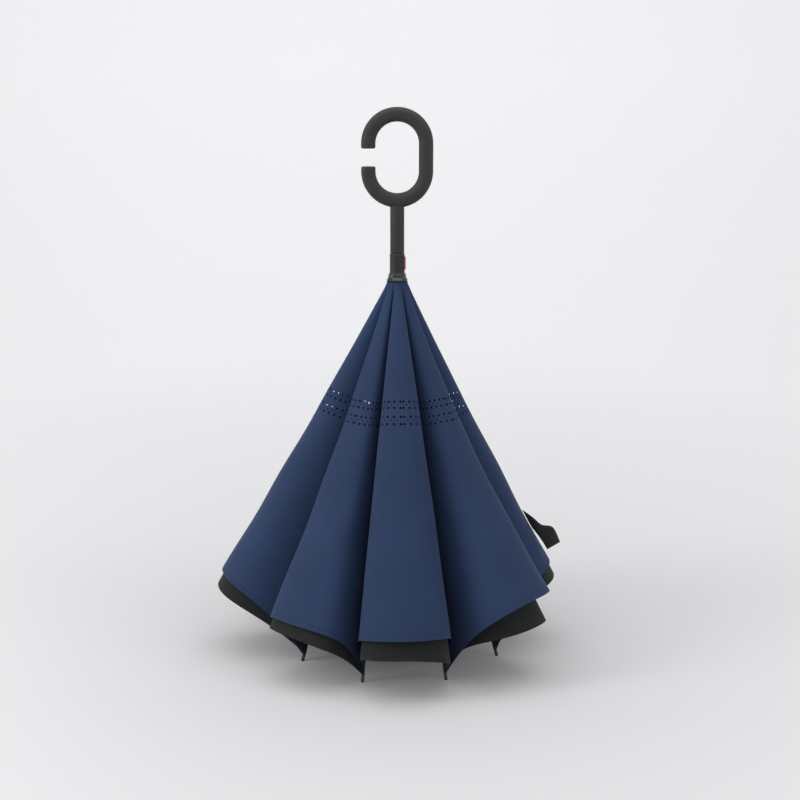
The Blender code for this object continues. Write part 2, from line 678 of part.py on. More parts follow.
def lobe_point(down, section_point, ridge_angle, outward, beside):
    """A point of a half lobe, down from the pivots, as (radius, azimuth from the rib, z). Outward is
    the seam's height over the rib, beside its distance from the rib's plane."""
    round_share, out_share = section_point
    radius = PIVOT_RADIUS + down * math.sin(RIB_ANGLE) + outward * math.cos(RIB_ANGLE)
    z = RIB_PIVOT_Z - down * math.cos(RIB_ANGLE) + outward * math.sin(RIB_ANGLE)
    ridge_radius = PANEL_APEX + down * math.sin(ridge_angle) + abs(outward)
    ridge_z = RIB_PIVOT_Z - down * math.cos(ridge_angle)
    edge = math.asin(beside / radius)
    azimuth = edge + (STEP / 2 - edge) * round_share
    return radius + (ridge_radius - radius) * out_share, azimuth, z + (ridge_z - z) * out_share


def half_lobe(k, side, hem_at, inside_degrees, outward, beside):
    """Points of a row across one half of a lobe. hem_at is how far down it is at a share across."""
    section = lobe_section(LOBE_CORNER_shares[k][side], LOBE_PULL_shares[k][side])
    points = []
    for section_point, across in zip(section, shares_across(section)):
        down = hem_at(across)
        ridge = ridge_angle_at(k, down, inside_degrees)
        points.append(lobe_point(down, section_point, ridge, outward, beside))
    return points


def lobe_rows(k, half_row, rows):
    """Rows of points across a whole lobe from the half rows' function of (row share, side)."""
    azimuth = FIRST_RIB + k * STEP
    out = []
    for i in range(rows + 1):
        left = [polar(r, azimuth + a, z) for r, a, z in half_row(i / rows, 0)]
        right = [polar(r, azimuth + STEP - a, z) for r, a, z in half_row(i / rows, 1)[-2::-1]]
        out.append(left + right)
    return out


def panel_place(k, z):
    """Where two neighbouring hinge axes cross, and the turn that faces the panel's ridge."""
    azimuth = FIRST_RIB + (k + 1 / 2) * STEP
    return polar(PANEL_APEX, azimuth, z), facing(azimuth)


def make_blue_panels(parent):
    outward = RIB_HEIGHT / 2 + GAP + CLOTH / 2
    beside = (GAP + CLOTH) / 2
    cloth = material("blue_panel", (46, 60, 92), 0.8)
    for k in range(COUNT):

        def half_row(t, side, k=k):
            def down(across):
                full = hem(across, BLUE_CURVE_shares[k][side], BLUE_RIDGE_HEMS[k])
                return BLUE_TOP + (full - BLUE_TOP) * t

            return half_lobe(k, side, down, 0, outward, beside)

        place, turn = panel_place(k, RIB_PIVOT_Z)
        rows = lobe_rows(k, half_row, BLUE_ROWS)
        add_sheet(f"blue_panel_{k + 1}", rows, CLOTH, cloth, parent, place, turn)


def make_black_panels(parent):
    inward = -(RIB_HEIGHT / 2 + GAP + CLOTH / 2)
    beside = RIB_WIDTH / 2 + GAP + CLOTH / 2
    middle = (GAP + CLOTH) / 2
    cloth = material("black_panel", (38, 40, 40), 0.85)
    for k in range(COUNT):

        def half_row(t, side, k=k):
            def down(across):
                full = hem(across, BLACK_CURVE_shares[k][side], BLACK_RIDGE_HEMS[k])
                return BLACK_TOP + (full - BLACK_TOP) * t

            seam = lobe_point(down(0), (0, 0), ridge_angle_at(k, down(0)), inward, middle)
            return [seam, *half_lobe(k, side, down, BLACK_INSIDE_DEGREES[k], inward, beside)]

        place, turn = panel_place(k, RIB_PIVOT_Z)
        rows = lobe_rows(k, half_row, BLACK_ROWS)
        add_sheet(f"black_panel_{k + 1}", rows, CLOTH, cloth, parent, place, turn)


def make_crown_panels(parent):
    """The black cloth from the notch cap to the elbows, on the struts' outer side."""
    outward = STRUT_HEIGHT / 2 + GAP + CLOTH / 2
    beside = (GAP + CLOTH) / 2
    cloth = material("black_crown_panel", (34, 36, 36), 0.85)
    for k in range(COUNT):
        azimuth = FIRST_RIB + k * STEP
        rows = []
        for i in range(CROWN_PANEL_ROWS + 1):
            run = STRUT_LENGTH - CROWN_PANEL_SHORT - CROWN_PANEL_START
            along = CROWN_PANEL_START + run * i / CROWN_PANEL_ROWS
            radius = PIVOT_RADIUS + along * math.sin(STRUT_ANGLE) + outward * math.cos(STRUT_ANGLE)
            z = NOTCH_PIVOT_Z + along * math.cos(STRUT_ANGLE) - outward * math.sin(STRUT_ANGLE)
            ridge_radius = PANEL_APEX + along * math.sin(CROWN_PANEL_ANGLE) + outward
            over = STRUT_WIDTH / 2 + GAP
            left = [beside_rib(k, radius, STRUT_SIDE + d, z) for d in (beside, over)]
            right = [beside_rib(k + 1, radius, STRUT_SIDE - d, z) for d in (over, beside)]
            middle = polar(ridge_radius, azimuth + STEP / 2 + STRUT_SIDE / radius, z)
            row = left + [middle] + right
            rows.append(row)
        place, turn = panel_place(k, NOTCH_PIVOT_Z)
        add_sheet(f"black_crown_panel_{k + 1}", rows, CLOTH, cloth, parent, place, turn)


def make_collar(parent):
    """The cloth ring that hangs from the crown ring over the tops of the blue panels."""
    cloth = material("canopy_collar", (40, 53, 82), 0.8)
    top = HUB_TOP_Z - GAP
    inside = HUB_RADIUS + COLLAR_SPACE
    foot = top - COLLAR_HEIGHT
    profile = [
        (inside + COLLAR_FLARE, foot),
        (inside + COLLAR_FLARE + CLOTH, foot),
        (inside + CLOTH, top),
        (inside, top),
    ]
    add("canopy_collar", turned("canopy_collar", profile), cloth, parent)


def strap_edge(down, shares):
    """Points along one edge of the strap, from its seat on the ridge."""
    outward = RIB_HEIGHT / 2 + GAP + CLOTH / 2
    azimuth = FIRST_RIB + (STRAP_PANEL_COUNT - 1 / 2) * STEP
    ridge = ridge_angle_at(STRAP_PANEL_COUNT - 1, down)
    seat = (CLOTH / 2 + GAP + STRAP_THICKNESS / 2) / math.cos(ridge)
    radius, _, z = lobe_point(down, (1, 1), ridge, outward, 0)
    points = []
    for out, around, drop in shares:
        root = polar(radius + seat + out * STRAP_REACH, azimuth, z - drop * STRAP_REACH)
        points.append(root + polar(around * STRAP_REACH, azimuth + math.pi / 2, 0))
    return points


def make_strap(parent):
    webbing = material("tie_strap", (30, 31, 32), 0.85)
    down = STRAP_DOWN_share * RIB_LENGTH
    upper = strap_edge(down, STRAP_UPPER_shares)
    lower = strap_edge(down + STRAP_ROOT, STRAP_LOWER_shares)
    rows = [[a, (a + b) / 2, b] for a, b in zip(upper, lower)]
    place, turn = panel_place(STRAP_PANEL_COUNT - 1, RIB_PIVOT_Z)
    add_sheet("tie_strap", rows, STRAP_THICKNESS, webbing, parent, place, turn)


def main():
    clear_scene()
    umbrella = empty("umbrella", (AXIS_X, 0, 0))
    runner = empty("runner", (0, 0, 0), umbrella)
    make_handle(umbrella)
    make_shaft(umbrella)
    make_notch(umbrella)
    make_struts(umbrella)
    make_crown_panels(umbrella)
    make_runner(runner)
    make_button(runner)
    make_ribs(runner)
    make_blue_panels(runner)
    make_black_panels(runner)
    make_collar(runner)
    make_strap(runner)


main()
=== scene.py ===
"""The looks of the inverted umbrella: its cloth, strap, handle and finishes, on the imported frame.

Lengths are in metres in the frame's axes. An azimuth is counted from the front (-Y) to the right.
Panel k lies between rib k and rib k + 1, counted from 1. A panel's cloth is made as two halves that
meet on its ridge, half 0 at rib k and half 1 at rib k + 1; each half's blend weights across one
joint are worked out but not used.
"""

import json
import math

import bmesh
import bpy
import numpy as np
from mathutils import Matrix, Vector

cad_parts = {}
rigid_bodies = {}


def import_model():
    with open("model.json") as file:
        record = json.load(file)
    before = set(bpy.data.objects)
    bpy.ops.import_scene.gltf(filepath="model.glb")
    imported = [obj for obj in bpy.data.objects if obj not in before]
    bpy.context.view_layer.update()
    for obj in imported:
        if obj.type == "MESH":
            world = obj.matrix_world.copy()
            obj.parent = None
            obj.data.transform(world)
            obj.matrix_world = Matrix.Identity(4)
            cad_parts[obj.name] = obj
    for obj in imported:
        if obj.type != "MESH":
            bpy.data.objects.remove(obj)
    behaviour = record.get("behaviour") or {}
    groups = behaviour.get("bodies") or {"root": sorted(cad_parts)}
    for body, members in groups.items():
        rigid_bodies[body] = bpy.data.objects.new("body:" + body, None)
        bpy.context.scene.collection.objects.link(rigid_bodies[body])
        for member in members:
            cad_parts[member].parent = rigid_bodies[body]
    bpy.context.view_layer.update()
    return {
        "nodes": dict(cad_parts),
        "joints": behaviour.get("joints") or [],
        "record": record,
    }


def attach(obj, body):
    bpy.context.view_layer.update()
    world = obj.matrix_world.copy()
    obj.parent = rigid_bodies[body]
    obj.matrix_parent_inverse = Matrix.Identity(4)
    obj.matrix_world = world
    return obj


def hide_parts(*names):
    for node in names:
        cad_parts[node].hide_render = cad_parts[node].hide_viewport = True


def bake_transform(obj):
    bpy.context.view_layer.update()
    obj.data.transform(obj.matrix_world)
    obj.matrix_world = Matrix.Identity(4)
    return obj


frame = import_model()
JOINTS = {joint["name"]: joint for joint in frame["joints"]}
RATIOS = {c["joint"]: c["ratio"] for c in frame["record"]["behaviour"]["couplings"]}
TRAVEL = JOINTS["runner_slide"]["range_m"][1]

# The linkage
COUNT = 8
STEP = 2 * math.pi / COUNT
FIRST_RIB = math.radians(-18.5)
AXIS_X = 0.011
PIVOT_RADIUS = 0.012
RIB_ANGLE = math.radians(14.7)
RIB_PIVOT_Z = JOINTS["rib_1_hinge"]["pos_m"][2]
RIB_LENGTH = RIB_PIVOT_Z / math.cos(RIB_ANGLE)
ELBOW = 0.240  # from the rib's pivot to its elbow
NOTCH_PIVOT_Z = JOINTS["strut_1_hinge"]["pos_m"][2]
STRUT_RUN = ELBOW * math.sin(RIB_ANGLE)
STRUT_RISE = RIB_PIVOT_Z - NOTCH_PIVOT_Z - ELBOW * math.cos(RIB_ANGLE)
STRUT_LENGTH = math.hypot(STRUT_RUN, STRUT_RISE)
STRUT_ANGLE = math.atan2(STRUT_RUN, STRUT_RISE)
STRUT_SIDE = 0.0033  # from the rib's plane to the strut's

# The panels at rest. "down" is the way down a rib or a ridge from the runner's pivots, and "across"
# is the share of the way from a seam (0) to the ridge (1).
SEAM_HEM = RIB_LENGTH - 0.0102
PANEL_APEX = PIVOT_RADIUS / math.cos(STEP / 2)
BLUE_TOP = 0.008
BLACK_TOP = 0.247
OUTWARD = 0.0024  # from the rib's middle to the blue cloth over it and the black cloth under it
BLUE_BESIDE = 0.0004  # from the rib's plane to the cloth's seam
BLACK_BESIDE = 0.0023
BLACK_TUCK = -0.02  # marks the column with which the black cloth reaches on under its rib
# Each ridge's angle from the shaft at its lower end, how much steeper it hangs at the top, and how
# far inside it the black cloth's ridge lies at the lower end and at the top.
RIDGE_DEGREES = (25.9, 31.3, 27.5, 27.2, 26.7, 27.5, 30.3, 25.8)
RIDGE_FLARE_DEGREES = (-2.3, 9.0, 2.3, 2.0, 2.0, 2.0, 1.6, 4.6)
BLACK_INSIDE_DEGREES = (1.3, 4.3, 0.5, 0.7, 0.7, 0.7, 0.6, 0.5)
BLACK_INSIDE_TOP_DEGREES = 0.6
# How far down each ridge the two hems lie, as shares of the rib's length.
BLUE_HEM_shares = (0.889, 0.851, 0.832, 0.867, 0.876, 0.876, 0.865, 0.882)
BLACK_HEM_shares = (0.934, 0.916, 0.871, 0.911, 0.925, 0.92, 0.907, 0.912)
# For each panel's left and right half: where its corner lies, how full it is, how high its corner
# stands against the ridge, and how steeply its hems fall to the ribs.
CORNERS = ((0.11, 0.24), (0.11, 0.22), *(4 * [(0.3, 0.3)]), (0.3, 0.31), (0.2, 0.21))
PULLS = ((1.6, 1.6), (1.3, 2.1), (1.7, 1.6), *(3 * [(1.9, 1.9)]), (1.6, 1.6), (2.2, 2.2))
HEIGHTS = ((1.0, 1.0), (1.0, 1.01), *(4 * [(0.98, 0.98)]), (1.0, 0.98), (1.0, 0.93))
BLUE_CURVES = ((5.1, 5.7), (1.9, 4.3), *(4 * [(3.0, 3.0)]), (3.0, 2.5), (2.7, 2.7))
BLACK_CURVES = ((5.0, 1.4), (5.0, 4.3), (4.0, 3.0), *(3 * [(3.0, 3.0)]), (3.0, 2.6), (3.2, 1.8))
SECTION_POINTS = 200
ROUND_SHARE = 0.8  # how much the way round counts against the way out in a section's length

# The open panels
FLAT_HALF = math.radians(21.7)  # a half panel's angle on the flat
FLAT_POWER = 1.5  # how gently the cloth leaves its rib for the ridge's height
STRUT_BULGE = 0.0016  # by which the open cloth rises beside the ribs, over the struts' ends
BULGE_ACROSS = 0.06  # the share across at which it rises most, and how far it spreads

# The panels' grids
COLUMNS = 16
UPPER_ROWS = (BLUE_TOP, 0.014, 0.024, 0.038, 0.056, 0.076, 0.098, 0.120, 0.140, 0.158)
LOWER_ROWS = 16
BLACK_ROWS = 14
HOLE_LINES = (0.1735, 0.1825, 0.1955, 0.2058)  # how far down the lines of holes lie
HOLE_CELL = 0.0045  # the height of the cells that hold them
HOLE_RADIUS = 0.0018
SMALL_HOLE_RADIUS = 0.0010
NO_HEM = 0.1  # a distance at which no hem shows, for the edges of a cloth that has none

# Slow waves in the cloth. Each has its radians across a half, its number down the rib, its phase
# and its size, and these are the least and the most of each.
WAVE_LEAST = (2, 1, 0, 0.4)
WAVE_MOST = (6, 4, 2 * math.pi, 1)
WAVE_COUNT = 6
WAVE_HEIGHT = 0.0007
WAVES_FULL = 0.3  # how far down they have their full height

# The crown cloth
CROWN_START = 0.006  # up the strut from the notch's pivot
CROWN_SHORT = 0.007  # from its outer edge to the strut's end
CROWN_ROWS = 12
CROWN_COLUMNS = 13
CROWN_OUTWARD = 0.0026  # from the strut's middle to the cloth on its outer side
CROWN_BOW = 0.026  # by which the open outer edge bows out between the struts
CROWN_UNDER_BLUE = 0.005  # from the open blue ridge down to the middle of the outer edge
CROWN_LOOKS = 40  # places at which the open blue ridge's height is looked up

# The collar
COLLAR_TOP = RIB_PIVOT_Z + 0.0042
COLLAR_HEIGHT = 0.0126
COLLAR_INSIDE = 0.0151
COLLAR_WIDEST = 0.0194
COLLAR_CLEAR = 0.0005  # from the panels to the collar over them
COLLAR_FLAT_RADIUS = 0.0165  # of the band that it is gathered from
COLLAR_STEPS = 8
# How far each row of the collar, from its top down, turns with its rib.
COLLAR_LIFT_shares = (0, 0.22, 0.42, 0.55, 0.62, 0.67, 0.71)

# The strap, with its two edges as outward, round and down shares of its reach
STRAP_PANEL = 3
STRAP_DOWN = 0.6755 * RIB_LENGTH
STRAP_ROOT = 0.0315
STRAP_REACH = 0.0547
STRAP_THICKNESS = 0.0011
STRAP_SEAT = 0.0016  # from the panel's ridge to the strap's middle
STRAP_CURL = 0.0016
STRAP_STEPS = 29
STRAP_COLUMNS = 9
STRAP_UPPER_shares = (
    (0, 0, 0), (0.28, -0.12, 0.19), (0.51, -0.20, 0.37), (0.81, -0.28, 0.43), (1, -0.38, 0.82)
)
STRAP_LOWER_shares = (
    (0, 0, 0), (0.09, -0.12, 0.1), (0.18, -0.20, 0.22), (0.27, -0.28, 0.35), (0.37, -0.38, 0.52)
)

# The handle
HANDLE_BEND = 0.0411  # radius of the C's centreline at its two ends
HANDLE_STRAIGHT = 0.0388  # between the centres of the two bends
HANDLE_WIDTH = 0.0206
HANDLE_DEPTH = 0.022
HANDLE_MOUTH = 0.0253
HANDLE_EDGE = 0.002
HANDLE_SQUARENESS = 2.6
HANDLE_SIDES = 40
BEND_STEPS = 40
EDGE_STEPS = 5
STEM_RADIUS = 0.01015
STEM_EDGE = 0.0012
STEM_EDGE_STEPS = 4
STEM_SOCKET = 0.045
STEM_BORE = 0.0063
HANDLE_SHARP = math.radians(50)

# Cloth
WEAVE = 0.0005
THREAD_HEIGHT = 0.000012
CREASE_HEIGHT = 0.0007
PUCKER_HEIGHT = 0.00012
PUCKER_REACH = 0.004
HEM_WIDTH = 0.008
HEM_HEIGHT = 0.00022
STITCH_PLACE = 0.0068  # from the hem's edge
STITCH_WIDTH = 0.0004
STITCH_PITCH = 0.0027
STITCH_DEPTH = 0.00012
# The width of the painted shade along each seam.
SEAM_SHADE_WIDTH = 0.0011

# Webbing
TWILL_PITCH = 0.0016
TWILL_HEIGHT = 0.00008
RIB_PITCH = 0.0008
RIB_HEIGHT = 0.00003
BORDER_PLACE = 0.0022
BORDER_WIDTH = 0.00035
BORDER_PITCH = 0.003

# sRGB levels out of 255
NAVY, NAVY_THREAD = (48, 66, 100), (40, 54, 84)
COLLAR_NAVY, COLLAR_THREAD = (45, 62, 98), (40, 54, 86)
BLACK, BLACK_THREAD = (37, 38, 38), (28, 28, 28)
CROWN_BLACK = (36, 37, 37)
WEBBING_DARK, WEBBING_LIGHT, WEBBING_THREAD = (25, 26, 27), (36, 37, 38), (58, 59, 61)
SOFT_TOUCH = (37, 38, 38)
# The last colour on the next line is painted light: the colour in which the paper glows to the
# camera.
# The wall colour on the next line is painted light: the one sheet of paper is painted lighter up
# its wall.
FLOOR, WALL_PAINTED_LIGHTER, MOTTLE, PAINTED_LIGHT_COLOUR = (222, 222, 223), (238, 238, 240), (214, 215, 218), (238, 238, 240)
SKY = (231, 232, 235)

# The stage, the camera and the lamps
STAGE_HALF = 6.0
COVE_START = 1.6  # where the floor begins to rise behind the umbrella
COVE_RADIUS = 1.2
COVE_STEPS = 16
WALL_TOP = 6.0
PAINTED_LIGHT_HEIGHT = 0.9  # the height by which the paper is painted up to its lighter wall colour, which is painted light
PAINTED_LIGHT_START = 0.06  # the paper's painted light, a glow seen only by the camera, grows between these distances from the umbrella's foot
PAINTED_LIGHT_END = 2.1
PAPER_PAINTED_LIGHT = 0.52
AMBIENT_COLOUR = (0.97, 0.985, 1, 1)
AMBIENT = 0.17
CAMERA_PLACE = (0.015, -2.05, 0.816)
CAMERA_DOWN = math.radians(12)
CAMERA_LENS = 63.95  # millimetres, on a sensor 36 mm wide
SENSOR_WIDTH = 36
# Each lamp's name, place, aim, width, height and watts
LAMPS = (
    ("left_box", (-2.05, -0.9, 1.35), (0, 0, 0.45), 0.7, 2.3, 21),
    ("right_box", (2.0, -1.05, 1.35), (0, 0, 0.45), 0.7, 2.3, 7.5),
    ("top_box", (0, -0.45, 2.8), (0, 0, 0), 3.4, 3.0, 42),
)

rng = np.random.default_rng(7)
WAVES = [rng.uniform(WAVE_LEAST, WAVE_MOST, (WAVE_COUNT, 4)) for _ in range(COUNT)]


def turn_matrix(joint, value):
    """A joint's own motion by a value, as a 4x4 array."""
    spec = JOINTS[joint]
    axis = Vector(spec["axis"])
    if spec["type"] == "slide":
        return np.array(Matrix.Translation(axis * value))
    there = Matrix.Translation(spec["pos_m"])
    return np.array(there @ Matrix.Rotation(value, 4, axis) @ there.inverted())


def opened(body):
    """The matrix that takes a body from rest to its place with the umbrella fully open."""
    for name, spec in JOINTS.items():
        if spec["child"] == body:
            value = RATIOS.get(name, 1 if name == "runner_slide" else 0) * TRAVEL
            return opened(spec["parent"]) @ turn_matrix(name, value)
    return np.eye(4)


def moved(matrix, points):
    return points @ matrix[:3, :3].T + matrix[:3, 3]


def polar(radius, azimuth, z):
    """Points at a radius and azimuth from the shaft."""
    radius, azimuth, z = np.broadcast_arrays(radius, azimuth, z)
    return np.stack([AXIS_X + radius * np.sin(azimuth), -radius * np.cos(azimuth), z], axis=-1)


def rib_azimuth(rib):
    return FIRST_RIB + (rib - 1) * STEP


def outward_at(azimuth):
    return np.array([math.sin(azimuth), -math.cos(azimuth), 0])


def around_at(azimuth):
    return np.array([math.cos(azimuth), math.sin(azimuth), 0])


def section(across, panel, half):
    """A half lobe's cross-section: shares of the way round from the seam's azimuth to the ridge's,
    and of the way out from the seam's radius to the ridge's."""
    corner, pull, height = (table[panel - 1][half] for table in (CORNERS, PULLS, HEIGHTS))
    t = np.linspace(0, 1, SECTION_POINTS)
    middle = 2 * pull * t * (1 - t)
    whole = (1 - t) ** 2 + middle + t**2
    a = (middle * corner + t**2) / whole
    b = (middle * height + t**2) / whole
    run = np.concatenate([[0], np.cumsum(np.hypot(np.diff(a) * ROUND_SHARE, np.diff(b)))])
    return np.interp(across, run / run[-1], a), np.interp(across, run / run[-1], b)


def hem(across, curve, ridge):
    """How far down the hem lies, where it lies at ridge on the ridge."""
    return SEAM_HEM + (ridge - SEAM_HEM) * (1 - (1 - across) ** curve)


def softness(panel, down, across, half):
    """Slow waves in the cloth, which are nothing at the seams and at the top."""
    side = (across - 1) if half == 0 else (1 - across)
    total = 0
    for x, y, phase, size in WAVES[panel - 1]:
        total = total + size * np.sin(x * side + y * 2 * math.pi * down / RIB_LENGTH + phase)
    return WAVE_HEIGHT * total * (1 - side**2) * np.clip(down / WAVES_FULL, 0, 1) ** 1.5


def lobe(panel, half, down, across, black=False):
    """Points of half a panel at rest."""
    k = panel - 1
    outward = -OUTWARD if black else OUTWARD
    beside = np.where(across < 0, BLUE_BESIDE, BLACK_BESIDE) if black else BLUE_BESIDE
    a, b = section(np.clip(across, 0, 1), panel, half)
    degrees = RIDGE_DEGREES[k] - RIDGE_FLARE_DEGREES[k] * (1 - down / RIB_LENGTH)
    if black:
        growth = BLACK_INSIDE_DEGREES[k] - BLACK_INSIDE_TOP_DEGREES
        degrees = degrees - BLACK_INSIDE_TOP_DEGREES - growth * (down / RIB_LENGTH) ** 2
    ridge = np.radians(degrees)
    radius = PIVOT_RADIUS + down * math.sin(RIB_ANGLE) + outward * math.cos(RIB_ANGLE)
    z = RIB_PIVOT_Z - down * math.cos(RIB_ANGLE) + outward * math.sin(RIB_ANGLE)
    ridge_radius = PANEL_APEX + down * np.sin(ridge) + abs(outward)
    ridge_z = RIB_PIVOT_Z - down * np.cos(ridge)
    edge = np.arcsin(beside / radius)
    sign = 1 if half == 0 else -1
    azimuth = rib_azimuth(panel + half) + sign * (edge + (STEP / 2 - edge) * a)
    soft = softness(panel, down, np.clip(across, 0, 1), half)
    return polar(radius + (ridge_radius - radius) * b + soft, azimuth, z + (ridge_z - z) * b)


def half_grid(panel, half, black):
    """(down, across) of a half panel's grid points."""
    k = panel - 1
    curve = (BLACK_CURVES if black else BLUE_CURVES)[k][half]
    ridge = (BLACK_HEM_shares if black else BLUE_HEM_shares)[k] * RIB_LENGTH
    across = np.linspace(0, 1, COLUMNS + 1)
    if black:
        across = np.concatenate([[BLACK_TUCK], across])
        upper, lower_rows = (BLACK_TOP,), BLACK_ROWS
    else:
        holes = [line + side * HOLE_CELL / 2 for line in HOLE_LINES for side in (-1, 1)]
        upper, lower_rows = (*UPPER_ROWS, *holes), LOWER_ROWS
    top = np.array([[row] * len(across) for row in upper])
    ends = hem(np.clip(across, 0, 1), curve, ridge)
    t = np.linspace(0, 1, lower_rows + 1)[1:, None]
    down = np.concatenate([top, top[-1] + (ends - top[-1]) * t])
    return down, np.broadcast_to(across, down.shape)


def hole_radius(row, column):
    """The radius of the hole in a cell of a blue half panel's grid, or 0."""
    line = row - len(UPPER_ROWS)
    if line in (0, 2, 4, 6) and column % 2 == 1:
        return HOLE_RADIUS
    if line in (1, 5) and column % 2 == 0 and column > 0:
        return SMALL_HOLE_RADIUS
    return 0


def flat_weights(points, across, panel, half, body, fold):
    """The blend weights with which the open half panel lies flat from its rib out to its ridge.

    A point that turns by t about the fold's axis comes to level + cosine * cos(t) + sine * sin(t)
    below the plane of the open ribs, and t is solved for the depth wanted there."""
    angle = RATIOS[fold] * TRAVEL
    axis, pivot = np.array(JOINTS[fold]["axis"]), np.array(JOINTS[fold]["pos_m"])
    matrix = opened(body)
    seam = moved(opened((f"rib_{panel}", f"web_{panel}")[half]), points[:, 0])
    normal = np.cross(around_at(rib_azimuth(panel + 0.5)), seam[-1] - seam[0])
    normal /= np.linalg.norm(normal)
    ridge = (moved(opened(f"ridge_{panel}"), points[:, -1]) - seam[0]) @ normal
    share = np.clip(across, 0, 1)
    bulge = STRUT_BULGE * np.exp(-((share / BULGE_ACROSS - 1) ** 2))
    wanted = ridge[:, None] * share**FLAT_POWER - bulge
    inner = matrix[:3, :3].T @ normal
    arm = points - pivot
    along = (inner @ axis) * (arm @ axis)
    cosine = arm @ inner - along
    sine = np.cross(axis, arm) @ inner
    level = along + (moved(matrix, pivot[None])[0] - seam[0]) @ normal
    phase = np.arctan2(sine, cosine)
    swing = np.arccos(np.clip((wanted - level) / np.hypot(cosine, sine), -1, 1))
    turns = (np.stack([phase + swing, phase - swing]) + math.pi) % (2 * math.pi) - math.pi
    outside = np.maximum(0, -turns) + np.maximum(0, turns - angle)
    turn = np.take_along_axis(turns, np.argmin(outside, axis=0)[None], 0)[0]
    weights = np.clip(turn / angle, 0, 1)
    weights[:, 0] = half
    weights[:, -1] = 1 - half
    return weights


def link(name, mesh):
    obj = bpy.data.objects.new(name, mesh)
    bpy.context.scene.collection.objects.link(obj)
    return obj


def pierce(ring, radius, values, faces):
    """Fill a grid cell round an eight-sided hole, and add its vertices to each list of values."""
    flat = [np.array(values[1][c]) for c in ring]
    wide = (np.linalg.norm(flat[1] - flat[0]) + np.linalg.norm(flat[2] - flat[3])) / 2
    tall = (np.linalg.norm(flat[3] - flat[0]) + np.linalg.norm(flat[2] - flat[1])) / 2
    start = len(values[0])
    for step in range(8):
        t = math.pi / 8 + step * math.pi / 4
        x = 0.5 - math.cos(t) * radius / wide
        y = 0.5 - math.sin(t) * radius / tall
        mix = ((1 - x) * (1 - y), x * (1 - y), x * y, (1 - x) * y)
        for rows in values:
            rows.append(list(sum(m * np.array(rows[c]) for m, c in zip(mix, ring))))
    o = [start + step for step in range(8)]
    faces += [[ring[0], ring[1], o[2], o[1]], [ring[1], o[3], o[2]], [ring[1], ring[2], o[4], o[3]]]
    faces += [[ring[2], o[5], o[4]], [ring[2], ring[3], o[6], o[5]], [ring[3], o[7], o[6]]]
    faces += [[ring[3], ring[0], o[0], o[7]], [ring[0], o[1], o[0]]]


def cloth_mesh(name, points, flats, edges, weights, flip, hole=None):
    """A grid mesh with UVs in metres on the flat and in distances to its edges, and its weights."""
    rows, cols = points.shape[:2]
    layers = (points, flats, edges, weights[..., None])
    values = [layer.reshape(rows * cols, -1).tolist() for layer in layers]
    faces = []
    for i in range(rows - 1):
        for j in range(cols - 1):
            corner = i * cols + j
            ring = [corner, corner + 1, corner + cols + 1, corner + cols]
            radius = hole(i, j) if hole else 0
            if radius:
                pierce(ring, radius, values, faces)
            else:
                faces.append(ring)
    if flip:
        faces = [face[::-1] for face in faces]
    mesh = bpy.data.meshes.new(name)
    mesh.from_pydata(values[0], [], faces)
    corners = [loop.vertex_index for loop in mesh.loops]
    for uv_name, rows_of in (("flat", values[1]), ("edges", values[2])):
        coords = np.array(rows_of, np.float32)[corners]
        mesh.uv_layers.new(name=uv_name).data.foreach_set("uv", coords.ravel())
    mesh.shade_smooth()
    return mesh, np.array(values[3], np.float32).ravel()


def make_cloth(name, grid, material, replaced, flip, hole=None):
    """A cloth piece from its grid, smoothed once, in place of a CAD node that it hides; its blend
    weights are not used.
    """
    mesh, weights = cloth_mesh(name, *grid, flip, hole)
    obj = link(name, mesh)
    mesh.materials.append(material)
    smooth = obj.modifiers.new("smooth", "SUBSURF")
    smooth.levels = smooth.render_levels = 1
    smooth.boundary_smooth = "PRESERVE_CORNERS"
    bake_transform(obj)
    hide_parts(replaced)
    return obj


def make_half(panel, half, black, material):
    """Half a panel's cloth, from its rib's seam to its ridge."""
    down, across = half_grid(panel, half, black)
    points = lobe(panel, half, down, across, black)
    bodies = ((f"rib_{panel}", f"ridge_{panel}"), (f"ridge_{panel}", f"web_{panel}"))[half]
    fold = (f"ridge_{panel}_fold", f"web_{panel}_fold")[half]
    weights = flat_weights(points, across, panel, half, bodies[0], fold)
    from_seam = FLAT_HALF * np.clip(across, 0, 1)
    beta = (FLAT_HALF - from_seam) * (-1 if half == 0 else 1)
    flats = np.stack([down * np.sin(beta), -down * np.cos(beta)], axis=-1)
    edges = np.stack([down[-1] - down, down * from_seam], axis=-1)
    kind = "black" if black else "blue"
    obj = make_cloth(
        f"{kind}_cloth_{panel}{'ab'[half]}", (points, flats, edges, weights), material,
        f"{kind}_panel_{panel}",
        flip=half == 1, hole=None if black else hole_radius,
    )


def strut_seam(rib, along, side):
    """Points of a crown panel's edge along a strut at rest, side metres from the strut's middle."""
    azimuth = rib_azimuth(rib)
    radius = PIVOT_RADIUS + along * math.sin(STRUT_ANGLE) + CROWN_OUTWARD * math.cos(STRUT_ANGLE)
    z = NOTCH_PIVOT_Z + along * math.cos(STRUT_ANGLE) - CROWN_OUTWARD * math.sin(STRUT_ANGLE)
    return polar(radius, azimuth, z) + (STRUT_SIDE + side) * around_at(azimuth)


